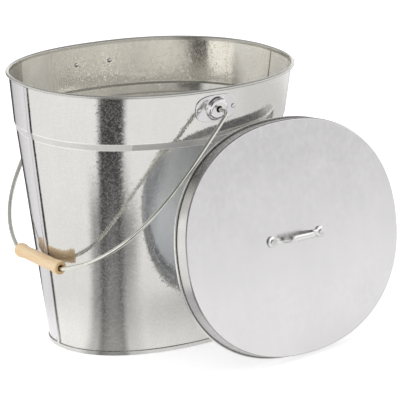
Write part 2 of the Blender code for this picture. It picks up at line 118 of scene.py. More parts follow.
LID_END_FIT = 0.0012
LID_SIDE_FIT = 0.0018
LID_INSET = 0.00035       # keeps the hem's rounder curl inside the solid's box
LID_DEPTH = 0.0172
LID_CORNER = 0.0016
HEM_RADIUS = 0.00145
HANDLE_SPACING = 0.0755
TAB_RADIUS = 0.0062
STRAP_HALF_WIDTH = 0.0035
STRAP_THICKNESS = 0.0014
STRAP_EDGE = 0.00045
STRAP_STEPS = 16
ARCH_TOP_STEPS = 4
TAB_END_ANGLE = 0.06
ARCH_RISE = 0.0125
ARCH_FOOT_SHARE = 0.73
ARCH_TOP_SHARE = 0.42
ARCH_STRAIGHT_SHARE = 0.45
LID_RIVET = (0.0016, 0.0027, 0.0013)

# How finely curves are drawn, and where a fold counts as sharp
CORNER_STEPS = 5
CORNER_SHARE = 0.45       # a rounded corner takes at most this much of a side
CORNER_SUPPORT = 0.0004   # the loops beside a rounded corner keep the faces next to it flat
EDGE_SHARE = 0.3          # the middle of a soft edge, as a share of its size
HEAD_STEPS = 6
ROUND_STEPS = 32
GRIP_STEPS = 96
TINY_ANGLE = 0.001
MERGE_DISTANCE = 0.000001
SHARP_FOLD = math.radians(42.0)

# Resting places in the row frame
BUCKET_PLACE = Matrix.Translation((-0.043586, 0.023698, 0.0))
BAIL_HANGS = math.radians(50.578)
BAIL_PLACE = (BUCKET_PLACE @ Matrix.Translation((EAR_SHIFT, 0.0, EAR_HEIGHT))
              @ Matrix.Rotation(-BAIL_HANGS, 4, "Y"))
GRIP_PLACE = (BAIL_PLACE @ Matrix.Translation((-BAIL_REACH, 0.0, 0.0))
              @ Matrix.Rotation(-math.pi / 2, 4, "X"))
LID_PLACE = Matrix(((0.982128, 0.003872, 0.188174, 0.041610),
                    (0.182917, 0.215891, -0.959131, -0.108804),
                    (-0.044339, 0.976410, 0.211325, 0.126121),
                    (0.0, 0.0, 0.0, 1.0)))

# Tones of the metals and the wood
ZINC = (0.765, 0.758, 0.728)
ZINC_INSIDE = (0.7803, 0.76179, 0.7098)
ZINC_COOL = (0.745, 0.730, 0.742)
ZINC_PAN = (0.70, 0.69, 0.67)
ZINC_EAR = (0.77, 0.755, 0.765)
ZINC_LID = (0.745, 0.733, 0.739)
ZINC_LID_UNDER = (0.690, 0.715, 0.760)
ZINC_LID_SKIRT = (0.800, 0.792, 0.758)
WIRE = (0.80, 0.797, 0.735)
RIVET = (0.72, 0.71, 0.72)
STRAP = (0.80, 0.80, 0.785)
BEECH_PALE = (0.930, 0.735, 0.475)
BEECH_TAN = (0.845, 0.585, 0.330)
BEECH_END = (0.610, 0.400, 0.190)
BEECH_BROWN = (0.420, 0.235, 0.095)

# Patterns to the metre
CLOUDS = 22.0
STREAKS = 75.0
WAVES = 11.0
WALL_VEINS = 240.0
LID_SPECKS = 420.0
METAL_GRAIN = 900.0
METAL_SPOTS = 110.0
WOOD_RINGS = 420.0
WOOD_BANDS = 130.0
WOOD_FLECKS = 900.0

# Where the body's zinc changes: limits that a soft step runs between, along X or back from
# the bucket's middle
FACES_UP = (0.02, 0.06)           # the inner face leans up by this much
PAINTED_LIGHT_RIGHT = (0.098, 0.109)       # the inside is painted lighter and matter toward its right end,
PAINTED_LIGHT_LEFT = (-0.080, -0.125)      # and toward its left end,
LEFT_BACK = (0.034, 0.050)        # but only this far back
LEFT_END_X = -0.1495             # where the inside turns darker and matter toward the left end
LEFT_END_SOFT = 0.0003
LAP_FORWARD = 0.0012              # the right end's lap line lies this far before the middle
REAR_HALF = (-0.0036, -0.0034)
# Where the outer step is painted darker toward the right: a painted reflection
DIM_STEP_LEFT = (-0.1335, -0.1315)
DIM_STEP_RIGHT = (-0.050, -0.075)
DIM_STEP_FRONT = (0.0, -0.02)
STEP_SOFT = 0.0004
RIM_LOW, RIM_FULL = WALL_TOP - 0.0030, WALL_TOP - 0.0018
CALM_LOW, CALM_FULL = WALL_TOP - 0.010, WALL_TOP - 0.003

# Lines in the zinc, some of them painted shade and some painted highlights: how far from its
# middle one ends, and how far it is full
LAP_LINE = (0.0013, 0.0006)
LEFT_END_EDGE_LINE = (0.0008, 0.0003)
FOLD_SHADE_LINE = (0.0017, 0.0008)
LOWER_FOLD_SHADE_LINE = (0.0015, 0.0005)
CREST_HIGHLIGHT_LINE = (0.0010, 0.0003)
LOWER_CREST_HIGHLIGHT_LINE = (0.0008, 0.0003)
VEIN_LINE = (0.060, 0.010)
GROOVE_SHADE_LINE = (0.0009, 0.0003)
EAR_HOLE_SHADE = (0.0044, 0.0036)

# Where the lid's zinc changes with the height above the ground, with painted shade on the
# skirt; the last two also say from what share to what share the face is painted paler or darker
PAINTED_DARK_SKIRT = (0.204, 0.217)
FOOT_SKIRT = (0.118, 0.088)
PAINTED_PALER_FACE = (0.20, -0.02, 0.0, 0.19)
PAINTED_DARKER_FACE = (0.16, 0.24, 0.0, 0.05)

# And with the height above its own lower edge
GROOVE = 2 * HEM_RADIUS
GROOVE_ABOVE = 0.0004
HEM_SOFT = 0.0003
CORNER_LOW = LID_DEPTH - LID_CORNER

# Camera
CAMERA_TURN = math.radians(34.34)
CAMERA_RISE = math.radians(15.98)
CAMERA_ROLL = math.radians(0.72)
CAMERA_DISTANCE = 3.454
CAMERA_AIM = 0.150        # height of the point that it looks at
CAMERA_LENS = 284.49
CAMERA_SHIFT = (0.12625, -0.005)

# Studio, as the metal sees it. Directions are in degrees round Z.
WORLD_LIGHT = 0.55        # light that the surroundings give
WORLD_LOW = (-0.045, 0.05, 1.0, 0.88)    # from one rise to another, one level to another
WORLD_FALLS = ((0.17, 0.36, 0.0, 0.32), (0.42, 0.62, 0.0, 0.10))
WORLD_FLAGS = (           # direction, half width, lowest and highest rise, level
    (126.0, 27.0, 0.185, 0.285, 1.15),
    (165.0, 22.0, 0.185, 0.285, 1.75),
    (8.0, 68.0, 0.14, 0.27, 1.60),
    (119.0, 3.0, 0.05, 0.20, 1.20),
    (96.0, 16.0, 0.03, 0.21, 0.02),
    (-35.0, 34.0, 0.02, 0.135, 0.68),
    (-38.0, 14.0, 0.29, 0.43, 0.98),
    (-32.0, 34.0, 0.46, 1.10, 0.27),
    (-155.0, 36.0, 0.38, 0.85, 0.20),
    (-126.0, 13.0, 0.0, 0.62, 0.08))
FLAG_SIDE_SOFT = 0.07
FLAG_SOFT = 0.015

FLOOR_HALF = 6.0
FLOOR_TONE = 0.62
FLOOR_GLOW = 0.46
FLOOR_IN_METAL = (0.9, 1.6, 0.90, 1.16)    # it grows brighter far out
FLOOR_SEEN = 1.30
WEDGE_TIP = (-0.0765, 0.0365)
WEDGE = (-126.0, 11.5, 0.06)               # direction, half width, softness
WEDGE_DEPTH = (0.05, 0.50, 0.38, 0.07)
WEDGE_END = (1.02, 0.88)
FLOOR_SIDES = (           # direction, half width, softness; where it ends; its depth
    ((-109.0, 7.0, 0.10), (0.44, 0.32), (0.15, 0.30, 0.20, 0.56)),
    ((-140.0, 7.5, 0.10), (0.48, 0.34), (0.08, 0.20, 0.40, 0.62)),
    ((-114.5, 4.5, 0.08), (0.52, 0.40), (0.08, 0.22, 0.05, 0.38)))
BEHIND = 55.7             # direction of the shade behind the bucket
BEHIND_SIDES = ((-0.70, 0.0), (1.31, 0.0))
DEEP_SIDES = ((-0.20, 0.0), (0.66, 0.50))
DEEP_WIDER = (0.20, 0.75, 0.26, -0.02)    # its deep part is wider near the bucket
RIGHT_SIDES = ((-1.25, -0.45), (1.2, 0.4))
RIGHT_END = (1.1, 0.9)
FOOT_RING = (2.1, 1.0)    # in half axes of the foot

# Lamps: name, place, aim, size, power
LAMPS = (("lamp_top", (0.2, 0.2, 2.4), (0.0, 0.0, 0.1), 3.0, 26.0),
         ("lamp_left", (-2.2, -0.6, 1.6), (0.0, 0.0, 0.15), 2.6, 18.0))


# Node graphs

class Value:
    """One socket of a node graph; sums on it add Math nodes."""

    def __init__(self, graph, socket):
        self.graph = graph
        self.socket = socket

    def __add__(self, other):
        return self.graph.math("ADD", self, other)

    def __sub__(self, other):
        return self.graph.math("SUBTRACT", self, other)

    def __mul__(self, other):
        return self.graph.math("MULTIPLY", self, other)

    def __truediv__(self, other):
        return self.graph.math("DIVIDE", self, other)

    def __pow__(self, other):
        return self.graph.math("POWER", self, other)

    def __radd__(self, other):
        return self.graph.math("ADD", other, self)

    def __rsub__(self, other):
        return self.graph.math("SUBTRACT", other, self)

    def __rmul__(self, other):
        return self.graph.math("MULTIPLY", other, self)

    def __rtruediv__(self, other):
        return self.graph.math("DIVIDE", other, self)

    def __abs__(self):
        return self.graph.math("ABSOLUTE", self)


class Graph:
    """Adds nodes to a tree: settings first, then the values or links of the sockets."""

    def __init__(self, tree):
        self.tree = tree

    def node(self, kind, settings=None, sockets=None):
        """A node with its settings and sockets; returns a function from output to Value."""
        made = self.tree.nodes.new(kind)
        for name, value in (settings or {}).items():
            setattr(made, name, value)
        for name, value in (sockets or {}).items():
            if isinstance(value, Value):
                self.tree.links.new(value.socket, made.inputs[name])
            else:
                made.inputs[name].default_value = value
        return lambda output=0: Value(self, made.outputs[output])

    def math(self, operation, *values):
        """A Math node."""
        return self.node("ShaderNodeMath", {"operation": operation},
                         dict(enumerate(values)))()

    def vector(self, operation, one, two=None, scale=None, output=0):
        """A Vector Math node on one or two vectors, or on one and a scale."""
        given = {0: one, 1: two, "Scale": scale}
        sockets = {name: value for name, value in given.items() if value is not None}
        return self.node("ShaderNodeVectorMath", {"operation": operation}, sockets)(output)

    def dot(self, one, two):
        """The dot product of two vectors."""
        return self.vector("DOT_PRODUCT", one, two, output="Value")

    def parts(self, vector):
        """The three numbers of a vector."""
        split = self.node("ShaderNodeSeparateXYZ", None, {0: vector})
        return split(0), split(1), split(2)

    def joined(self, *numbers):
        """A vector from its three numbers."""
        return self.node("ShaderNodeCombineXYZ", None, dict(enumerate(numbers)))()

    def reach(self, one, two):
        """How far two offsets at right angles lead away."""
        return self.math("SQRT", one * one + two * two)

    def smooth(self, value, low, high, start=0.0, end=1.0):
        """A soft step of a value between two limits."""
        return self.node("ShaderNodeMapRange", {"interpolation_type": "SMOOTHSTEP"},
                         {"Value": value, "From Min": low, "From Max": high,
                          "To Min": start, "To Max": end})()

    def line(self, value, zero, full):
        """One where a value is close to nought, down to zero further off on both sides."""
        return self.smooth(abs(value), zero, full)

    def between(self, value, low, high, soft):
        """One between two limits, with soft edges."""
        return (self.smooth(value, low - soft, low + soft)
                * self.smooth(value, high + soft, high - soft))

    def beside(self, turn, middle, half, soft):
        """One inside a range of directions, falling softly to zero outside it."""
        away = abs(self.math("WRAP", turn - math.radians(middle), math.pi, -math.pi))
        edge = math.radians(half)
        return self.smooth(away, edge + soft, edge - soft)

    def mixed(self, share, one, two):
        """Two colours mixed by a share."""
        first, second = (colour if isinstance(colour, Value) else (*colour, 1.0)
                         for colour in (one, two))
        return self.node("ShaderNodeMix", {"data_type": "RGBA"},
                         {0: share, 6: first, 7: second})(2)

    def noise(self, place, scale, detail, roughness=0.5, output=0):
        """Noise with so many patterns to the metre, about 0.5 on average."""
        return self.node("ShaderNodeTexNoise", None,
                         {"Vector": place, "Scale": scale, "Detail": detail,
                          "Roughness": roughness})(output)

    def bump(self, strength, height):
        """The normal of a surface with so much height in metres."""
        return self.node("ShaderNodeBump", None,
                         {"Strength": strength, "Distance": 1.0, "Height": height})()

    def place(self):
        """Where a point is on the object."""
        return self.node("ShaderNodeTexCoord")("Object")

    def facing(self):
        """Which way the surface faces."""
        return self.node("ShaderNodeTexCoord")("Normal")


# Surfaces

def new_surface(name):
    """A material and its empty graph."""
    material = bpy.data.materials.new(name)
    material.use_nodes = True
    material.node_tree.nodes.clear()
    return material, Graph(material.node_tree)


def close_surface(graph, sockets):
    """The shader with what feeds it."""
    shader = graph.node("ShaderNodeBsdfPrincipled", None, sockets)()
    graph.node("ShaderNodeOutputMaterial", None, {"Surface": shader})


def crystals(graph, place, size):
    """Zinc crystals: random numbers for each as a colour, and the distance to its middle."""
    drift = graph.noise(place, 1.3 / size, 3.0, output="Color")
    bent = graph.node("ShaderNodeMix", {"data_type": "VECTOR"},
                      {0: 0.35 * size, 4: place, 5: drift})(1)
    cell = graph.node("ShaderNodeTexVoronoi", None, {"Vector": bent, "Scale": 1 / size})
    return cell("Color"), cell("Distance")


def galvanised(name, tone, size=0.0016, rough=(0.06, 0.12), tilt=0.045, cloud=0.02,
               zones=None):
    """Hot-dipped zinc: small crystals, a few of them tilted, faint clouds and upright streaks,
    and what a piece's own zones change."""
    material, graph = new_surface(name)
    place = graph.place()
    tint, near = crystals(graph, place, size)
    numbers = graph.node("ShaderNodeSeparateColor", None, {"Color": tint})
    one, two = numbers(0), numbers(1)
    fine = graph.noise(place, 1.6 / size, 4.0, 0.7)
    clouds = graph.noise(place, CLOUDS, 2.0)
    upright = graph.node("ShaderNodeMapping", None,
                         {"Vector": place, "Scale": (1.0, 1.0, 0.12)})()
    streaks = graph.noise(upright, STREAKS, 3.0)
    frost = graph.smooth(fine * 0.5 + one * 0.5 + (clouds - 0.5) * 0.3, 0.44, 0.74)
    low, high = rough
    level = frost * (high - low) + low + two * 0.03
    shade = (one - 0.5) * cloud + (clouds - 0.5) * (2.4 * cloud) + (streaks - 0.5) * (4.5 * cloud)
    shade = shade + 1.0
    colour, metal, lively = tone, 1.0, 1.0
    if zones:
        colour, metal, level, shade, lively = zones(graph, place, tone, level, shade, clouds)
    lit = graph.vector("SCALE", colour, scale=shade)
    leaned = graph.vector("SUBTRACT", tint, (0.5, 0.5, 0.5))
    leaned = graph.vector("SCALE", leaned, scale=(frost + 0.1) * tilt * lively)
    waves = graph.noise(place, WAVES, 1.0)
    bumped = graph.bump(0.2, waves * 0.0012 + near * 0.00001)
    faced = graph.vector("NORMALIZE", graph.vector("ADD", bumped, leaned))
    close_surface(graph, {"Metallic": metal, "Base Color": lit, "Roughness": level,
                          "Normal": faced})
    return material


def inner_marks(graph, along, back, height):
    """Marks of the inner face: the line of the right lap, painted shade along the folds of the
    step, a darker, matter stretch at the left end with a dark line at its edge, and painted light
    on the stretches next to both ends."""
    lap = graph.line(back + LAP_FORWARD, *LAP_LINE)
    # Painted shade along the upper and lower folds of the step
    fold_shade = graph.line(height - STEP_TOP - INNER_STEP_RISE, *FOLD_SHADE_LINE)
    fold_shade = fold_shade + graph.line(height - STEP_BOTTOM, *LOWER_FOLD_SHADE_LINE) * 0.6
    far = graph.smooth(back, *LEFT_BACK)
    # Toward the left end the inside is darker and matter, with a dark line at the edge of that
    # stretch
    end = graph.smooth(along, LEFT_END_X + LEFT_END_SOFT, LEFT_END_X - LEFT_END_SOFT) * far
    edge = graph.line(along - LEFT_END_X, *LEFT_END_EDGE_LINE) * far
    # Next to both ends the inside is painted lighter and matter: painted light
    painted_light = graph.smooth(along, *PAINTED_LIGHT_LEFT) * far * (1.0 - end) * 0.95
    painted_light = graph.smooth(along, *PAINTED_LIGHT_RIGHT) + painted_light
    return lap, fold_shade, end, edge, painted_light


def body_zones(graph, place, tone, level, shade, clouds):
    """A matter inside with painted light next to both ends, a lap line, a darker stretch at the
    left end and painted shade along the folds; outside a duller rim, a frosted step with painted
    highlights along its edges and a painted darker reflection to the right, faint veins and a
    cooler rear half."""
    along, across, height = graph.parts(place)
    back = across - BUCKET_PLACE.translation.y
    inside = graph.smooth(graph.parts(graph.facing())[2], *FACES_UP)
    outside = 1.0 - inside
    rim = graph.smooth(height, RIM_LOW, RIM_FULL)
    lining = inside * (1.0 - rim)
    lap, fold_shade, end, edge, painted_light = inner_marks(graph, along, back, height)
    lap = lap * lining
    painted_light = painted_light * lining

    step = graph.between(height, STEP_BOTTOM, STEP_TOP, STEP_SOFT) * outside
    # Painted highlights along the upper and lower edges of the outer step
    crest_highlight = graph.line(height - STEP_TOP, *CREST_HIGHLIGHT_LINE)
    crest_highlight = crest_highlight + graph.line(height - STEP_BOTTOM, *LOWER_CREST_HIGHLIGHT_LINE)
    # The outer step is painted darker toward the right: a painted reflection
    painted_dim = graph.smooth(along, *DIM_STEP_LEFT) * graph.smooth(along, *DIM_STEP_RIGHT)
    painted_dim = painted_dim * step * graph.smooth(back, *DIM_STEP_FRONT)
    ridge = graph.noise(place, WALL_VEINS, 2.0)
    veins = graph.line(ridge - 0.5, *VEIN_LINE) * outside * (1.0 - step) * (1.0 - rim)
    calm = graph.smooth(height, CALM_LOW, CALM_FULL) * outside

    level = level + step * 0.55 + inside * 0.02 + painted_light * 0.12
    level = level * (1.0 - rim) + rim * 0.24
    shade = shade * (1.0 - rim * 0.22 - lap * 0.78 + painted_light * 0.27)
    shade = shade * (1.0 - lining * (fold_shade * 0.66 + end * 0.12 + edge * 0.30))
    shade = shade * (1.0 + step * 0.03 + crest_highlight * outside * 0.22) * (1.0 - painted_dim * 0.27)
    shade = shade * (1.0 + (inside * 0.20 + painted_light * 0.22) * (clouds - 0.5))
    shade = shade * (1.0 + veins * 0.050)
    metal = 1.0 - inside * 0.06 - step * 0.34 - veins * 0.13
    metal = metal - lining * end * 0.55 - painted_light * (1.0 - lap) * 0.70
    colour = graph.mixed(inside, tone, ZINC_INSIDE)
    colour = graph.mixed(graph.smooth(back, *REAR_HALF) * outside, colour, ZINC_COOL)
    return colour, metal, level, shade, 1.0 - calm - rim * (1.0 - calm)


def lid_zones(graph, place, tone, level, shade, clouds):
    """A hem with a painted highlight and painted shade in the groove behind it, a skirt with
    painted shade at its top and foot, matt at its foot and matt and painted lighter inside,
    painted shade round the corner, and a face painted paler downwards."""
    axis, start = LID_PLACE.col[2].to_3d(), LID_PLACE.translation
    height = graph.dot(place, axis) - axis.dot(start)
    up = graph.parts(place)[2]
    facing = graph.facing()
    outward = graph.dot(facing, axis)
    under = graph.smooth(outward, -0.3, -0.7)
    # The hem gets a painted highlight and the groove behind it painted shade
    hem = graph.smooth(height, GROOVE, GROOVE - HEM_SOFT)
    groove_shade = graph.line(height - GROOVE - GROOVE_ABOVE, *GROOVE_SHADE_LINE)
    skirt = graph.smooth(height, CORNER_LOW, LID_DEPTH - 2 * LID_CORNER)
    band = skirt * (1.0 - hem)
    # Painted shade on the skirt's upper part, broken by specks
    darker_patch = band * graph.smooth(up, *PAINTED_DARK_SKIRT)
    # Painted shade on the skirt's lower part, which is also matt
    foot = band * graph.smooth(up, *FOOT_SKIRT)
    away = graph.vector("SUBTRACT", place, tuple(start))
    # The inside of the skirt is matt and painted lighter: painted light
    inner = graph.smooth(graph.dot(facing, away), -0.03, -0.06) * skirt
    # Painted shade round the corner between the face and the skirt
    corner = graph.smooth(height, CORNER_LOW - 0.0002, CORNER_LOW)
    corner = corner * graph.smooth(height, LID_DEPTH - 0.0001, LID_DEPTH - 0.0004)
    corner = corner * graph.smooth(outward, -0.02, 0.05)
    specks = graph.noise(place, LID_SPECKS, 2.0)

    shade = shade * (1.0 - groove_shade * 0.62 + hem * 0.20 + (darker_patch + foot - skirt) * 0.09)
    shade = shade * (1.0 - darker_patch * (0.40 + (specks - 0.5) * 0.9) - foot * 0.22)
    shade = shade * (1.0 + (clouds - 0.5) * 0.07 - corner * 0.45)
    # The face is painted paler toward the ground and a little darker near its top
    painted_paler = graph.smooth(up, *PAINTED_PALER_FACE) - graph.smooth(up, *PAINTED_DARKER_FACE)
    shade = shade * (1.0 + painted_paler * (1.0 - skirt) * (1.0 - under)) * (1.0 + inner * 0.20)
    metal = 1.0 - (foot * 0.62 + hem * 0.25) * (1.0 - inner) - corner * 0.2 - inner * 0.75
    colour = graph.mixed(under, tone, ZINC_LID_UNDER)
    colour = graph.mixed(skirt * (1.0 - darker_patch) * (1.0 - foot), colour, ZINC_LID_SKIRT)
    return colour, metal, level + band * 0.06, shade, 1.0


def ear_zones(graph, place, tone, level, shade, clouds):
    """Painted shade round the dome's hole, where the wire passes through."""
    along, _, up = graph.parts(place)
    along = along - (BUCKET_PLACE.translation.x + EAR_SHIFT)
    reach = graph.reach(along, up - EAR_HEIGHT)
    hole_shade = graph.smooth(reach + clouds * 0.0006, *EAR_HOLE_SHADE)
    return tone, 1.0, level + hole_shade * 0.3, shade * (1.0 - hole_shade * 0.93), 1.0


def bright_metal(name, tone, rough):
    """Drawn wire or plated strip: bright, with fine scratches and a few duller spots."""
    material, graph = new_surface(name)
    place = graph.place()
    fine = graph.noise(place, METAL_GRAIN, 3.0)
    darker_patch = graph.smooth(graph.noise(place, METAL_SPOTS, 2.0), 0.52, 0.72)
    duller = tuple(value * 0.86 for value in tone)
    close_surface(graph, {"Metallic": 1.0, "Base Color": graph.mixed(darker_patch, tone, duller),
                          "Roughness": rough + darker_patch * 0.10 + (fine - 0.5) * 0.08,
                          "Normal": graph.bump(0.12, fine * 0.00005)})
    return material


def turned_beech(name, middle):
    """Pale beech turned across the lathe: long grain along Y, short flecks, darker end grain."""
    material, graph = new_surface(name)
    centred = graph.node("ShaderNodeMapping", None,
                         {"Vector": graph.place(), "Location": [-value for value in middle]})()
    across, along, up = graph.parts(centred)
    long = graph.joined(across, along * 0.07, up)
    rings = graph.noise(long, WOOD_RINGS, 3.0, 0.6)
    broad = graph.noise(long, WOOD_BANDS, 2.0)
    short = graph.joined(across, along * 0.22, up)
    cells = graph.node("ShaderNodeTexVoronoi", None, {"Vector": short, "Scale": WOOD_FLECKS})
    flecks = graph.smooth(cells("Distance"), 0.22, 0.10)
    end = graph.smooth(abs(along), GRIP_HALF_LENGTH - 0.0012, GRIP_HALF_LENGTH - 0.0002)
    bore = graph.smooth(graph.reach(across, up), GRIP_BORE_RADIUS * 1.5,
                        GRIP_BORE_RADIUS * 1.02)
    grain = graph.smooth(rings * 0.5 + broad * 0.5, 0.38, 0.66)
    base = graph.mixed(grain, BEECH_PALE, BEECH_TAN)
    base = graph.mixed(flecks * 0.35, base, BEECH_BROWN)
    base = graph.mixed(end * 0.75, base, BEECH_END)
    # Painted shade: dark brown in the bore and round its mouth
    base = graph.mixed(bore * 0.85, base, BEECH_BROWN)
    close_surface(graph, {"Base Color": base, "Roughness": 0.46 + (rings - 0.5) * 0.2,
                          "Normal": graph.bump(0.5, rings * 0.00006 - flecks * 0.00008)})
    return material


FINISHES = {
    "wall": galvanised("wall_zinc", ZINC, zones=body_zones),
    "seam": galvanised("seam_zinc", ZINC_COOL),
    "pan": galvanised("pan_zinc", ZINC_PAN, rough=(0.16, 0.30)),
    "ear": galvanised("ear_zinc", ZINC_EAR, 0.0018, (0.12, 0.16), 0.012, zones=ear_zones),
    "lid": galvanised("lid_zinc", ZINC_LID, 0.0050, (0.20, 0.24), 0.004, 0.008, lid_zones),
    "wire": bright_metal("wire_bright", WIRE, 0.11),
    "rivet": bright_metal("rivet_bright", RIVET, 0.20),
    "strap": bright_metal("strap_bright", STRAP, 0.21),
    "beech": turned_beech("beech_turned", GRIP_PLACE.translation),
}


# Geometry trees

def new_tree(name, inputs):
    """A tree with named inputs, its graph and a function from an input's name to its Value."""
    tree = bpy.data.node_groups.new(name, "GeometryNodeTree")
    tree.interface.new_socket("Geometry", in_out="OUTPUT", socket_type="NodeSocketGeometry")
    for label, kind in inputs.items():
        tree.interface.new_socket(label, in_out="INPUT", socket_type="NodeSocket" + kind)
    graph = Graph(tree)
    return tree, graph, graph.node("NodeGroupInput")


def close_tree(graph, shape, finish):
    """Realise, give the material and pass the shape out."""
    whole = graph.node("GeometryNodeRealizeInstances", None, {0: shape})()
    smooth = graph.node("GeometryNodeSetShadeSmooth", None, {0: whole})()
    done = graph.node("GeometryNodeSetMaterial", None, {0: smooth, "Material": finish})()
    graph.node("NodeGroupOutput", None, {0: done})


def shape_of(graph, thing):
    """The geometry of an object that a tree is given."""
    return graph.node("GeometryNodeObjectInfo", None, {"Object": thing})("Geometry")


def attribute_of(graph, name, kind):
    """A named attribute of the points that a tree works on."""
    return graph.node("GeometryNodeInputNamedAttribute", {"data_type": kind},
                      {"Name": name})()


def sweep_tree():
    """A section carried round an oval; with both half axes at zero it turns on a lathe."""
    tree, graph, start = new_tree("oval_sweep", {
        "Section": "Object", "Half length": "Float", "Half width": "Float",
        "Oval power": "Float", "Steps": "Int", "Finish": "Material"})
    section = shape_of(graph, start("Section"))
    count = graph.node("GeometryNodeAttributeDomainSize", {"component": "MESH"},
                       {0: section})(0)
    grid = graph.node("GeometryNodeMeshGrid", None,
                      {"Vertices X": start("Steps") + 1.0, "Vertices Y": count})(0)
    index = graph.node("GeometryNodeInputIndex")()
    column = graph.math("FLOOR", (index + 0.5) / count)
    row = index - column * count
    corner = graph.node("GeometryNodeInputPosition")()
    found = graph.node("GeometryNodeSampleIndex",
                       {"data_type": "FLOAT_VECTOR", "domain": "POINT"},
                       {0: section, "Value": corner, "Index": row})()
    out, _, height = graph.parts(found)
    angle = column / start("Steps") * (2 * math.pi)
    power = 2.0 / start("Oval power")
    cosine, sine = graph.math("COSINE", angle), graph.math("SINE", angle)
    along = graph.math("SIGN", cosine) * abs(cosine) ** power
    across = graph.math("SIGN", sine) * abs(sine) ** power
    spot = graph.joined((start("Half length") + out) * along,
                        (start("Half width") + out) * across, height)
    shaped = graph.node("GeometryNodeSetPosition", None, {0: grid, "Position": spot})()
    joined = graph.node("GeometryNodeMergeByDistance", None,
                        {0: shaped, "Distance": MERGE_DISTANCE})()
    close_tree(graph, joined, start("Finish"))
    return tree


def wire_tree():
    """A round wire along a path, thicker where the path's swell says so."""
    tree, graph, start = new_tree("wire_on_path", {
        "Path": "Object", "Wire radius": "Float", "Steps": "Int", "Finish": "Material"})
    line = graph.node("GeometryNodeMeshToCurve", None, {0: shape_of(graph, start("Path"))})()
    swell = attribute_of(graph, "swell", "FLOAT")
    ring = graph.node("GeometryNodeCurvePrimitiveCircle", None,
                      {"Resolution": start("Steps"), "Radius": start("Wire radius")})()
    swept = graph.node("GeometryNodeCurveToMesh", None,
                       {"Curve": line, "Profile Curve": ring, "Fill Caps": True,
                        "Scale": swell})()
    close_tree(graph, swept, start("Finish"))
    return tree


def set_tree():
    """One small piece set on each mark, its Z along the mark's direction."""
    tree, graph, start = new_tree("set_on_marks", {
        "Piece": "Object", "Marks": "Object", "Finish": "Material"})
    toward = attribute_of(graph, "direction", "FLOAT_VECTOR")
    turn = graph.node("FunctionNodeAlignRotationToVector", {"axis": "Z"},
                      {"Vector": toward})()
    placed = graph.node("GeometryNodeInstanceOnPoints", None,
                        {"Points": shape_of(graph, start("Marks")),
                         "Instance": shape_of(graph, start("Piece")), "Rotation": turn})()
    close_tree(graph, placed, start("Finish"))
    return tree


TREES = {"sweep": sweep_tree(), "wire": wire_tree(), "marks": set_tree()}


def run_tree(name, tree, values, place=None):
    """Run a tree once and keep its shape as a plain mesh object at the origin."""
    host = bpy.data.objects.new(name + "_host", bpy.data.meshes.new(name + "_host"))
    bpy.context.scene.collection.objects.link(host)
    change = host.modifiers.new("shape", "NODES")
    change.node_group = TREES[tree]
    for item in change.node_group.interface.items_tree:
        if item.in_out == "INPUT":
            change[item.identifier] = values[item.name]
    bpy.context.view_layer.update()
    worked_out = host.evaluated_get(bpy.context.evaluated_depsgraph_get())
    mesh = bpy.data.meshes.new_from_object(worked_out)
    host.modifiers.remove(change)
    bpy.data.objects.remove(host)
    return keep(name, mesh, place)


def keep(name, mesh, place=None, finish=None):
    """A finished mesh as a piece: moved into place, faces out, smooth with sharp folds."""
    mesh.name = name
    if place is not None:
        mesh.transform(place)
    if finish:
        mesh.materials.append(FINISHES[finish])
    shape = bmesh.new()
    shape.from_mesh(mesh)
    bmesh.ops.recalc_face_normals(shape, faces=shape.faces)
    shape.to_mesh(mesh)
    shape.free()
    piece = bpy.data.objects.new(name, mesh)
    bpy.context.scene.collection.objects.link(piece)
    mesh.shade_smooth()
    mesh.set_sharp_from_angle(angle=SHARP_FOLD)
    return piece


def helper(name, points, edges=True, attribute=None):
    """A row of points that a tree reads, with one attribute of its own where that is given."""
    mesh = bpy.data.meshes.new(name)
    links = [(i, i + 1) for i in range(len(points) - 1)] if edges else []
    mesh.from_pydata([tuple(point) for point in points], links, [])
    if attribute:
        label, kind, values = attribute
        layer = mesh.attributes.new(label, kind, "POINT")
        for item, value in zip(layer.data, values):
            setattr(item, "value" if kind == "FLOAT" else "vector", value)
    thing = bpy.data.objects.new(name, mesh)
    bpy.context.scene.collection.objects.link(thing)
    return thing


def drop(*things):
    """Remove helpers once the shapes are kept."""
    for thing in things:
        bpy.data.objects.remove(thing)


# Sections

def mix(start, end, share):
    """The value a share of the way from start to end."""
    return start + (end - start) * share


def soften(points, closed=False):
    """A section of (out, height, radius) corners with each corner rounded by its radius."""
    made = []
    count = len(points)
    for i, (out, height, radius) in enumerate(points):
        here = Vector((out, height))
        inner = closed or 0 < i < count - 1
        if not radius or not inner:
            made.append(here)
            continue
        before = Vector(points[i - 1][:2]) - here
        after = Vector(points[(i + 1) % count][:2]) - here
        turn = math.pi - before.angle(after)
        reach = radius * math.tan(turn / 2)
        reach = min(reach, CORNER_SHARE * before.length, CORNER_SHARE * after.length)
        start = here + before.normalized() * reach
        end = here + after.normalized() * reach
        beside = reach + CORNER_SUPPORT
        if before.length > 3 * beside:
            made.append(here + before.normalized() * beside)
        inward = (before.normalized() + after.normalized()).normalized()
        middle = here + inward * (reach / math.sin(turn / 2) if turn > TINY_ANGLE else 0.0)
        for k in range(CORNER_STEPS + 1):
            made.append(arc_point(middle, start, end, k / CORNER_STEPS))
        if after.length > 3 * beside:
            made.append(here + after.normalized() * beside)
    if closed:
        made.append(made[0].copy())
    return [(point.x, 0.0, point.y) for point in made]


def arc_point(middle, start, end, share):
    """A point a share of the way along the round arc between two points."""
    one, two = start - middle, end - middle
    angle = one.angle(two)
    if angle < TINY_ANGLE:
        return start.lerp(end, share)
    away = one * math.sin(angle * (1 - share)) + two * math.sin(angle * share)
    return middle + away / math.sin(angle)


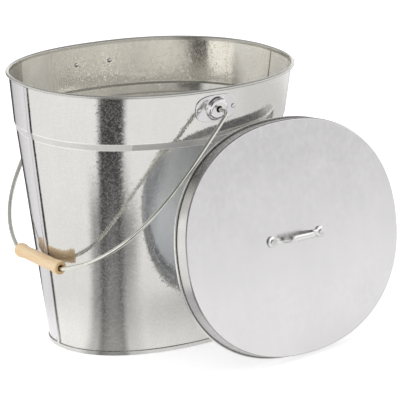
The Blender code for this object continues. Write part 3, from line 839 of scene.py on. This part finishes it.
def curl(out, height, radius, start, turn):
    """The two faces of a sheet rolled into an edge, inner face first."""
    angles = [start + turn * i / CURL_STEPS for i in range(CURL_STEPS + 1)]
    inside = [(out + (radius - SHEET) * math.cos(angle),
               height + (radius - SHEET) * math.sin(angle), 0.0) for angle in angles]
    outside = [(out + radius * math.cos(angle), height + radius * math.sin(angle), 0.0)
               for angle in reversed(angles)]
    return inside + outside


def wall_out(height):
    """How far the outer face of the wall stands outside the base oval at a height."""
    if height <= STEP_BOTTOM:
        return LOWER_FLARE * height / STEP_BOTTOM
    if height <= STEP_TOP:
        return LOWER_FLARE + STEP_OUT * (height - STEP_BOTTOM) / STEP_HEIGHT
    return LOWER_FLARE + STEP_OUT + UPPER_FLARE * (height - STEP_TOP) / (WALL_TOP - STEP_TOP)


def wall_point(along, height, side):
    """A point on a broad side of the body, in the bucket's own frame."""
    grow = wall_out(height)
    share = abs(along) / (BASE_HALF_LENGTH + grow)
    across = (BASE_HALF_WIDTH + grow) * (1 - share ** OVAL_POWER) ** (1 / OVAL_POWER)
    return Vector((along, side * (across + GAP / 2), height))


def wall_normal(along, height, side):
    """The outward normal of a broad side."""
    ahead = wall_point(along + SHEET, height, side) - wall_point(along - SHEET, height, side)
    up = wall_point(along, height + SHEET, side) - wall_point(along, height - SHEET, side)
    normal = ahead.cross(up).normalized()
    return normal if normal.y * side > 0 else -normal


def strip_point(end, across, height, outward):
    """A point near an end of the long axis, at Y = across."""
    grow = wall_out(height) + outward
    share = abs(across) / (BASE_HALF_WIDTH + grow)
    along = (BASE_HALF_LENGTH + grow) * (1 - share ** OVAL_POWER) ** (1 / OVAL_POWER)
    return Vector((end * along, across, height))


def step_section(offset, bend, rise=0.0):
    """The wall from its foot to the curl, at an offset from its outer face."""
    foot = SHEET + GAP
    top = STEP_TOP + rise
    return [(wall_out(foot) + offset, foot, 0.0),
            (wall_out(STEP_BOTTOM) + offset, STEP_BOTTOM, bend),
            (wall_out(top) + offset, top, bend)]


def wall_section():
    """Up the outer face, round the rolled rim and down inside."""
    rim_out = wall_out(WALL_TOP) - SHEET + RIM_RADIUS
    outside = step_section(0.0, STEP_BEND)
    inside = step_section(-SHEET, INNER_STEP_BEND, INNER_STEP_RISE)[::-1]
    rim = curl(rim_out, WALL_TOP, RIM_RADIUS, math.pi, -CURL_TURN)
    return soften(outside + rim + inside, closed=True)


def pan_section():
    """From the middle of the underside, out round the foot ring and back over the floor."""
    inner = -SHEET - GAP
    top = FLOOR_HEIGHT + SHEET
    middle = -BASE_HALF_WIDTH
    return soften([
        (middle, FLOOR_HEIGHT, 0.0),
        (inner - SHEET + wall_out(FLOOR_HEIGHT), FLOOR_HEIGHT, PAN_BEND),
        (inner - SHEET, 0.0, FOOT_BEND),
        (GAP + SHEET, 0.0, PAN_BEND),
        (GAP + SHEET + wall_out(FOOT_HEIGHT), FOOT_HEIGHT, CHIME_BENDS[0]),
        (GAP + wall_out(FOOT_HEIGHT), FOOT_HEIGHT, CHIME_BENDS[1]),
        (GAP + wall_out(SHEET), SHEET, 0.0),
        (inner + wall_out(SHEET), SHEET, 0.0),
        (inner + wall_out(top), top, PAN_BEND),
        (middle, top, 0.0)])


def lid_half_axes():
    """Half axes of the outside of the skirt, a hair inside the solid's."""
    grow = wall_out(WALL_TOP) + 2 * RIM_RADIUS - LID_INSET
    return BASE_HALF_LENGTH + grow + LID_END_FIT, BASE_HALF_WIDTH + grow + LID_SIDE_FIT


def lid_section():
    """From the middle of the face, over the corner, round the hem and back underneath."""
    middle = -lid_half_axes()[1]
    hem = curl(HEM_RADIUS - SHEET, HEM_RADIUS, HEM_RADIUS, math.pi, CURL_TURN)
    face = [(middle, LID_DEPTH, 0.0), (0.0, LID_DEPTH, LID_CORNER)]
    inside = [(-SHEET, LID_DEPTH - SHEET, LID_CORNER - SHEET), (middle, LID_DEPTH - SHEET, 0.0)]
    return soften(face + hem + inside)


def rivet_section(sizes, low, high):
    """Half a rivet, from the middle of its inner head to the middle of its outer head."""
    shank, head, rise = sizes
    angles = [math.pi / 2 * i / HEAD_STEPS for i in range(HEAD_STEPS + 1)]
    lower = [(head * math.sin(a), low - rise * math.cos(a), 0.0) for a in angles]
    upper = [(head * math.cos(a), high + rise * math.sin(a), 0.0) for a in angles]
    return soften(lower + [(shank, low, 0.0), (shank, high, 0.0)] + upper)


def between_points(before, start, end, after, t):
    """A smooth curve's value between two points, with their neighbours given too."""
    return 0.5 * (2 * start + (end - before) * t
                  + (2 * before - 5 * start + 4 * end - after) * t * t
                  + (3 * start - 3 * end + after - before) * t ** 3)


def grip_section():
    """The turned outline of the grip and its bore, as a closed section."""
    half = [(along * GRIP_HALF_LENGTH, wide * GRIP_RADIUS) for along, wide in GRIP_SHARES]
    smooth = []
    for i in range(len(half) - 1):
        one, two = half[max(i - 1, 0)], half[i]
        three, four = half[i + 1], half[min(i + 2, len(half) - 1)]
        steps = GRIP_CURVE_STEPS[min(i, 1)]
        for k in range(steps):
            t = k / steps
            wide = between_points(one[1], two[1], three[1], four[1], t)
            smooth.append((min(wide, GRIP_RADIUS), mix(two[0], three[0], t)))
    smooth.append((half[-1][1], 0.0))
    outer = smooth + [(radius, -along) for radius, along in reversed(smooth[:-1])]
    straight, mouth = GRIP_HALF_LENGTH - GRIP_BORE_EDGE, GRIP_BORE_RADIUS + GRIP_BORE_EDGE
    bore = [(mouth, -GRIP_HALF_LENGTH), (GRIP_BORE_RADIUS, -straight),
            (GRIP_BORE_RADIUS, straight), (mouth, GRIP_HALF_LENGTH)]
    return soften([(radius, along, 0.0) for radius, along in outer + bore], closed=True)


# Pieces made loop by loop

def loft(loops, ring=False):
    """A closed mesh through loops of equal count."""
    shape = bmesh.new()
    rows = [[shape.verts.new(point) for point in loop] for loop in loops]
    pairs = list(zip(rows, rows[1:]))
    if ring:
        pairs.append((rows[-1], rows[0]))
    else:
        shape.faces.new(rows[0])
        shape.faces.new(rows[-1])
    for one, two in pairs:
        for i in range(len(one)):
            j = (i + 1) % len(one)
            shape.faces.new((one[i], one[j], two[j], two[i]))
    mesh = bpy.data.meshes.new("loft")
    shape.to_mesh(mesh)
    shape.free()
    return mesh


def seam_mesh(end):
    """The folded strip over the joint at an end: a clear front edge, a flattened rear one."""
    low = FOOT_HEIGHT + 2 * GAP
    high = WALL_TOP - RIM_RADIUS - GAP
    corners = ((low, 0.0), (STEP_BOTTOM, SEAM_BEND), (STEP_TOP, SEAM_BEND), (high, 0.0))
    rows = [point[2] for point in soften([(wall_out(height), height, bend)
                                          for height, bend in corners])]
    half = SEAM_WIDTH / 2
    top = GAP + SEAM_THICKNESS
    across = [(-half, GAP), (-half, top - SEAM_EDGE),
              (-half + EDGE_SHARE / 2 * SEAM_EDGE, top - EDGE_SHARE * SEAM_EDGE),
              (-half + SEAM_EDGE, top)]
    across += [(share * half, mix(top, GAP, drop)) for share, drop in SEAM_SHARES]
    across += [(half, GAP + 0.2 * SEAM_EDGE), (half, GAP), (0.0, GAP)]
    return loft([[strip_point(end, y, height, out) for y, out in across] for height in rows])


def ear_outline(angle):
    """How far the edge of the ear plate is from the dome's middle in one direction."""
    across = abs(math.cos(angle) / EAR_HALF_LENGTH) ** EAR_CORNER_POWER
    up = abs(math.sin(angle) / EAR_HALF_HEIGHT) ** EAR_CORNER_POWER
    return (across + up) ** (-1 / EAR_CORNER_POWER)


def ear_loop(radius, spread, rise, side, inset=0.0):
    """One loop laid over the wall: a circle, spread by a share out to the plate's edge."""
    loop = []
    for i in range(EAR_STEPS):
        angle = 2 * math.pi * i / EAR_STEPS
        reach = mix(radius, ear_outline(angle) - inset, spread)
        foot = wall_point(EAR_SHIFT + reach * math.cos(angle),
                          EAR_HEIGHT + reach * math.sin(angle), side)
        loop.append(foot + Vector((0.0, side * rise, 0.0)))
    return loop


def ear_mesh(side):
    """The plate: front face with a rounded dome, soft edge and hollow back."""
    rise = DOME_HEIGHT - SHEET
    top = GAP + SHEET
    last_share = DOME_SHARES[-1][0]
    widest = last_share * DOME_RADIUS
    loops = [ear_loop(DOME_HOLE, 0.0, GAP + SHEET / 2 + 0.96 * rise, side)]
    loops += [ear_loop(share * DOME_RADIUS, 0.0, top + up * rise, side)
              for share, up in DOME_SHARES]
    loops += [ear_loop(widest, spread, top, side, EAR_EDGE)
              for spread in (0.25, 0.5, 0.75, 0.95, 1.0)]
    middle = EDGE_SHARE * EAR_EDGE
    loops += [ear_loop(widest, 1.0, height, side, inset)
              for inset, height in ((middle, top - middle), (0.0, top - EAR_EDGE), (0.0, GAP))]
    loops += [ear_loop(widest - SHEET, spread, GAP, side) for spread in (0.75, 0.5, 0.25)]
    for share, up in DOME_SHARES[::-1]:
        steep = max(0.0, share - DOME_CROWN_SHARE) / (last_share - DOME_CROWN_SHARE)
        loops.append(ear_loop(share * DOME_RADIUS - SHEET * steep, 0.0, GAP + up * rise, side))
    return loft(loops, ring=True)


def handle_mesh():
    """The strap: round tabs, two bends and an arch, with rounded edges all along."""
    foot = ARCH_FOOT_SHARE * HANDLE_SPACING / 2
    top = ARCH_TOP_SHARE * HANDLE_SPACING / 2
    stations = [(top * i / ARCH_TOP_STEPS, STRAP_HALF_WIDTH, ARCH_RISE)
                for i in range(ARCH_TOP_STEPS)]
    for i in range(STRAP_STEPS + 1):
        t = i / STRAP_STEPS
        ease = mix(t * t * (3 - 2 * t), t, ARCH_STRAIGHT_SHARE)
        stations.append((mix(top, foot, t), STRAP_HALF_WIDTH, mix(ARCH_RISE, GAP, ease)))
    neck = HANDLE_SPACING / 2 - math.sqrt(TAB_RADIUS ** 2 - STRAP_HALF_WIDTH ** 2)
    start = math.pi - math.asin(STRAP_HALF_WIDTH / TAB_RADIUS)
    stations.append((mix(foot, neck, 0.5), STRAP_HALF_WIDTH, GAP))
    for i in range(STRAP_STEPS + 1):
        angle = mix(start, TAB_END_ANGLE, i / STRAP_STEPS)
        stations.append((HANDLE_SPACING / 2 + TAB_RADIUS * math.cos(angle),
                         TAB_RADIUS * math.sin(angle), GAP))
    left = [(-along, width, height) for along, width, height in reversed(stations[1:])]
    loops = []
    for along, width, height in left + stations:
        low = LID_DEPTH + height
        high = low + STRAP_THICKNESS
        soft = min(STRAP_EDGE, 0.4 * width)
        corner = ((0.0, soft), (EDGE_SHARE * soft, EDGE_SHARE * soft), (soft, 0.0))
        under = [(-width + inset, low + rise) for inset, rise in corner]
        under += [(-y, z) for y, z in reversed(under)]
        over = [(-y, low + high - z) for y, z in under]
        loops.append([Vector((along, y, z)) for y, z in under + over])
    return loft(loops)


def bail_half():
    """Half of the wire, from its head to the middle, as (across, reach, swell)."""
    wall = wall_point(EAR_SHIFT, EAR_HEIGHT, 1).y
    start = wall + STUD_CLEAR
    corner = BAIL_HALF_SPAN - BAIL_BEND_RADIUS
    head = STUD_RADIUS / WIRE_RADIUS
    path = [(start, 0.0, head), (start + STUD_LENGTH, 0.0, head),
            (start + STUD_LENGTH + STUD_EDGE, 0.0, 1.0), (corner, 0.0, 1.0)]
    for i in range(1, BAIL_BEND_STEPS + 1):
        angle = math.pi / 2 * i / BAIL_BEND_STEPS
        path.append((corner + BAIL_BEND_RADIUS * math.sin(angle),
                     BAIL_BEND_RADIUS * (1 - math.cos(angle)), 1.0))
    leg = Vector(path[-1][:2])
    grip_end = Vector((GRIP_HALF_LENGTH + WIRE_RADIUS, BAIL_REACH))
    pull = BAIL_SHOULDER * Vector((math.cos(BAIL_KINK), -math.sin(BAIL_KINK)))
    one, two, three, four = leg, leg + Vector((0.0, BAIL_LEG)), grip_end + pull, grip_end
    for i in range(1, BAIL_BOW_STEPS + 1):
        t = i / BAIL_BOW_STEPS
        rest = 1 - t
        point = (one * rest ** 3 + two * 3 * rest ** 2 * t
                 + three * 3 * rest * t ** 2 + four * t ** 3)
        path.append((point.x, point.y, 1.0))
    return path


# The object

def swept(name, section, half_axes, power, steps, finish, place=None):
    """A section carried round an oval, as a finished mesh."""
    points = helper(name + "_section", section)
    piece = run_tree(name, "sweep", {
        "Section": points, "Half length": half_axes[0], "Half width": half_axes[1],
        "Oval power": power, "Steps": steps, "Finish": FINISHES[finish]}, place)
    drop(points)
    return piece


def oval(name, section, half_axes, finish, place):
    """A section carried round the bucket's kind of oval."""
    return swept(name, section, half_axes, OVAL_POWER, OVAL_STEPS, finish, place)


def turned(name, section, steps, finish, place=None):
    """A section turned on a lathe."""
    return swept(name, section, (0.0, 0.0), 2.0, steps, finish, place)


def rivets(name, sizes, limits, marks, directions, place):
    """Rivets of one size on their marks, as one mesh."""
    pattern = turned(name + "_pattern", rivet_section(sizes, *limits), ROUND_STEPS, "rivet")
    spots = helper(name + "_marks", marks, False, ("direction", "FLOAT_VECTOR", directions))
    piece = run_tree(name, "marks", {"Piece": pattern, "Marks": spots,
                                     "Finish": FINISHES["rivet"]}, place)
    drop(pattern, spots)
    return piece


def finish_piece(piece, body, slot, *nodes):
    """Set a piece on its body and hide the solids that it stands for; its slot is not used."""
    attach(piece, body)
    if nodes:
        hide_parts(*nodes)


def make_body():
    """The wall with its foot pan, and the seam strips at both ends."""
    base = (BASE_HALF_LENGTH, BASE_HALF_WIDTH)
    wall = oval("body_wall", wall_section(), base, "wall", BUCKET_PLACE)
    finish_piece(wall, "bucket", "front_steel", "body_front_half", "body_rear_half")
    pan = oval("foot_pan", pan_section(), base, "pan", BUCKET_PLACE)
    finish_piece(pan, "bucket", "bottom_steel", "bottom_pan")
    for end, word in ((-1, "left"), (1, "right")):
        strip = keep(f"seam_{word}", seam_mesh(end), BUCKET_PLACE, "seam")
        finish_piece(strip, "bucket", "front_steel")


def make_ears():
    """The two ear plates with their rivets."""
    for side, word in ((-1, "front"), (1, "rear")):
        plate = keep(f"ear_plate_{word}", ear_mesh(side), BUCKET_PLACE, "ear")
        finish_piece(plate, "bucket", f"ear_{word}_steel", f"ear_{word}")
    marks, directions = [], []
    for side in (-1, 1):
        for end in (-1, 1):
            along = EAR_SHIFT + end * EAR_RIVET_SPACING / 2
            marks.append(wall_point(along, EAR_HEIGHT, side))
            directions.append(wall_normal(along, EAR_HEIGHT, side))
    heads = rivets("ear_rivets", EAR_RIVET, (-SHEET - GAP, 2 * GAP + SHEET), marks, directions,
                   BUCKET_PLACE)
    finish_piece(heads, "bucket", "ear_rivet_front_left_steel", "ear_rivet_front_left",
                 "ear_rivet_front_right", "ear_rivet_rear_left", "ear_rivet_rear_right")


def make_bail():
    """The bent wire and the grip that turns on it."""
    half = bail_half()
    path = [(-reach, across, 0.0) for across, reach, _ in half]
    path += [(-reach, -across, 0.0) for across, reach, _ in reversed(half)]
    swell = [item[2] for item in half + half[::-1]]
    line = helper("bail_path", path, True, ("swell", "FLOAT", swell))
    bail = run_tree("bail", "wire", {"Path": line, "Wire radius": WIRE_RADIUS,
                                     "Steps": ROUND_STEPS, "Finish": FINISHES["wire"]},
                    BAIL_PLACE)
    drop(line)
    finish_piece(bail, "bail", "wire_steel", "bail_wire")
    grip = turned("grip", grip_section(), GRIP_STEPS, "beech", GRIP_PLACE)
    finish_piece(grip, "grip", "beech", "bail_grip")


def make_lid():
    """The lid with its strap and two rivets."""
    lid = oval("lid", lid_section(), lid_half_axes(), "lid", LID_PLACE)
    finish_piece(lid, "lid", "lid_steel", "lid_pan")
    strap = keep("lid_strap", handle_mesh(), LID_PLACE, "strap")
    finish_piece(strap, "lid", "handle_steel", "lid_handle")
    marks = [Vector((end * HANDLE_SPACING / 2, 0.0, LID_DEPTH)) for end in (-1, 1)]
    outward = [Vector((0.0, 0.0, 1.0))] * 2
    heads = rivets("lid_rivets", LID_RIVET, (-SHEET - GAP, 2 * GAP + STRAP_THICKNESS), marks,
                   outward, LID_PLACE)
    finish_piece(heads, "lid", "lid_rivet_left_steel", "lid_rivet_left", "lid_rivet_right")


# The studio

def make_camera():
    """A long lens from the left front, a little above the rim."""
    right = Vector((math.cos(CAMERA_TURN), -math.sin(CAMERA_TURN), 0.0))
    ahead = Vector((math.sin(CAMERA_TURN), math.cos(CAMERA_TURN), 0.0))
    above = Vector((0.0, 0.0, 1.0))
    forward = ahead * math.cos(CAMERA_RISE) - above * math.sin(CAMERA_RISE)
    upward = ahead * math.sin(CAMERA_RISE) + above * math.cos(CAMERA_RISE)
    across = right * math.cos(CAMERA_ROLL) + upward * math.sin(CAMERA_ROLL)
    upward = upward * math.cos(CAMERA_ROLL) - right * math.sin(CAMERA_ROLL)
    spot = BUCKET_PLACE.translation + above * CAMERA_AIM - forward * CAMERA_DISTANCE
    camera = bpy.data.cameras.new("camera")
    camera.lens = CAMERA_LENS
    camera.shift_x, camera.shift_y = CAMERA_SHIFT
    thing = bpy.data.objects.new("camera", camera)
    bpy.context.scene.collection.objects.link(thing)
    thing.matrix_world = Matrix((
        (across.x, upward.x, -forward.x, spot.x), (across.y, upward.y, -forward.y, spot.y),
        (across.z, upward.z, -forward.z, spot.z), (0.0, 0.0, 0.0, 1.0)))
    bpy.context.scene.camera = thing


def make_world():
    """The studio as the metal sees it, plain white for the camera, softer as a light."""
    world = bpy.data.worlds.new("studio")
    bpy.context.scene.world = world
    world.use_nodes = True
    world.node_tree.nodes.clear()
    graph = Graph(world.node_tree)
    along, across, rise = graph.parts(graph.node("ShaderNodeTexCoord")("Generated"))
    turn = graph.math("ARCTAN2", across, along)
    level = graph.smooth(rise, *WORLD_LOW)
    for fall in WORLD_FALLS:
        level = level - graph.smooth(rise, *fall)
    for middle, half, low, high, gain in WORLD_FLAGS:
        mask = graph.beside(turn, middle, half, FLAG_SIDE_SOFT)
        mask = mask * graph.between(rise, low, high, FLAG_SOFT)
        level = level + mask * (gain - level)
    ray = graph.node("ShaderNodeLightPath")
    metal = graph.math("MAXIMUM", ray("Is Glossy Ray"), ray("Is Transmission Ray"))
    plain = WORLD_LIGHT + ray("Is Camera Ray") * (1.0 - WORLD_LIGHT)
    strength = plain + metal * (level - plain)
    light = graph.node("ShaderNodeBackground", None,
                       {"Color": (1.0, 1.0, 1.0, 1.0), "Strength": strength})()
    graph.node("ShaderNodeOutputWorld", None, {"Surface": light})


def floor_in_metal(graph):
    """How bright the floor is for the metal: a dark wedge toward the camera with half shades
    beside it, a shade behind the bucket and one to its right, and a bright ring at its foot."""
    along, across, _ = graph.parts(graph.place())
    out, back = along - WEDGE_TIP[0], across - WEDGE_TIP[1]
    turn = graph.math("ARCTAN2", back, out)
    reach = graph.reach(out, back)
    wedge = graph.beside(turn, *WEDGE) * graph.smooth(reach, *WEDGE_END)
    level = 1.0 - wedge * (1.0 - graph.smooth(reach, *WEDGE_DEPTH))
    for direction, end, depth in FLOOR_SIDES:
        side = graph.beside(turn, *direction) * graph.smooth(reach, *end)
        level = level * (1.0 - side * graph.smooth(reach, *depth))
    apart = graph.math("WRAP", turn - math.radians(BEHIND), math.pi, -math.pi)
    behind = graph.smooth(apart, *BEHIND_SIDES[0]) * graph.smooth(apart, *BEHIND_SIDES[1])
    wider = graph.smooth(reach, *DEEP_WIDER)
    deep = graph.smooth(apart, *DEEP_SIDES[0]) * graph.smooth(apart - wider, *DEEP_SIDES[1])
    right = graph.smooth(turn, *RIGHT_SIDES[0]) * graph.smooth(turn, *RIGHT_SIDES[1])
    right = right * graph.smooth(reach, *RIGHT_END)
    level = level * (1.0 - behind * 0.55) * (1.0 - deep * 0.93) * (1.0 - right * 0.20)
    level = level * graph.smooth(reach, *FLOOR_IN_METAL)
    middle = BUCKET_PLACE.translation
    foot = graph.reach((along - middle.x) / BASE_HALF_LENGTH,
                       (across - middle.y) / BASE_HALF_WIDTH)
    return level * (1.0 + graph.smooth(foot, *FOOT_RING) * 0.35)


def make_floor():
    """A wide pale floor that stays white and keeps the object's shadow; its shades show only
    in the metal."""
    mesh = bpy.data.meshes.new("floor")
    corners = [(along * FLOOR_HALF, across * FLOOR_HALF, 0.0)
               for along, across in ((-1, -1), (1, -1), (1, 1), (-1, 1))]
    mesh.from_pydata(corners, [], [(0, 1, 2, 3)])
    floor = bpy.data.objects.new("floor", mesh)
    bpy.context.scene.collection.objects.link(floor)
    material, graph = new_surface("floor_white")
    ray = graph.node("ShaderNodeLightPath")
    shade = 1.0 + ray("Is Glossy Ray") * (floor_in_metal(graph) - 1.0)
    shade = shade + ray("Is Camera Ray") * (FLOOR_SEEN - 1.0)
    plain = graph.vector("SCALE", (FLOOR_TONE, FLOOR_TONE, FLOOR_TONE), scale=shade)
    cover = graph.node("ShaderNodeBsdfDiffuse", None, {"Color": plain})()
    glow = graph.node("ShaderNodeEmission", None,
                      {"Color": (1.0, 1.0, 1.0, 1.0), "Strength": shade * FLOOR_GLOW})()
    both = graph.node("ShaderNodeAddShader", None, {0: cover, 1: glow})()
    graph.node("ShaderNodeOutputMaterial", None, {"Surface": both})
    mesh.materials.append(material)


def add_lamp(name, spot, aim, size, power):
    """A soft square lamp that the metal doesn't show."""
    lamp = bpy.data.lights.new(name, "AREA")
    lamp.shape = "SQUARE"
    lamp.size = size
    lamp.energy = power
    thing = bpy.data.objects.new(name, lamp)
    bpy.context.scene.collection.objects.link(thing)
    thing.location = spot
    thing.visible_glossy = False
    thing.rotation_euler = (Vector(aim) - Vector(spot)).to_track_quat("-Z", "Y").to_euler()


make_body()
make_ears()
make_bail()
make_lid()
make_camera()
make_world()
make_floor()
for lamp_values in LAMPS:
    add_lamp(*lamp_values)
bpy.context.scene.view_settings.view_transform = "Standard"
